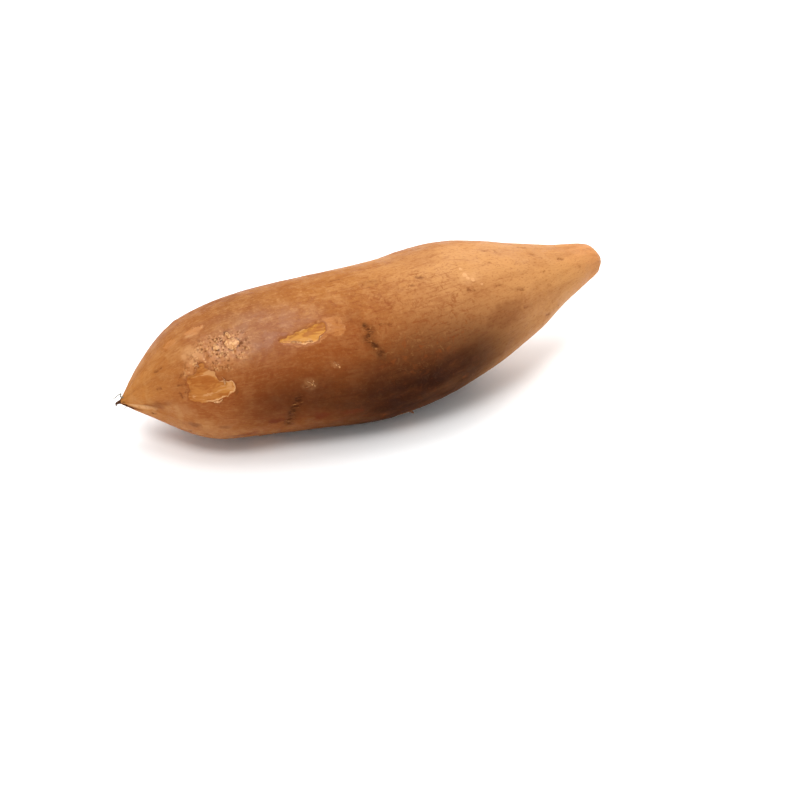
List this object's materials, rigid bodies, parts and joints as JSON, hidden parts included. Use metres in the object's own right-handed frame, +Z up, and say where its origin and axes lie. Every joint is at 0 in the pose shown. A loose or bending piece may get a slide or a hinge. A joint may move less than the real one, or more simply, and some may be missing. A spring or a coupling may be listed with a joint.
{
  "type": "yacon root",
  "caption": "Whole yacon storage root with brown skin, thick in the middle, tapering to a pointed tip and a short stub, lying on its side on a small flat spot.",
  "frame": {"origin": "the point on the ground under the middle of the root's box", "axes": "+X along the root from its pointed tip to its stub, +Y to its back, +Z up"},
  "size_m": [0.1912, 0.0608, 0.0563],
  "materials": {
    "root_skin": "satin brown skin with scraped patches",
    "dry_tip": "dry, dark brown, fibrous",
    "root_hair": "dry greyish fibre",
    "skin_flake": "thin dry skin flake"
  },
  "bodies": {
    "root": {"yacon_root": "root_skin"}
  },
  "joints": []
}
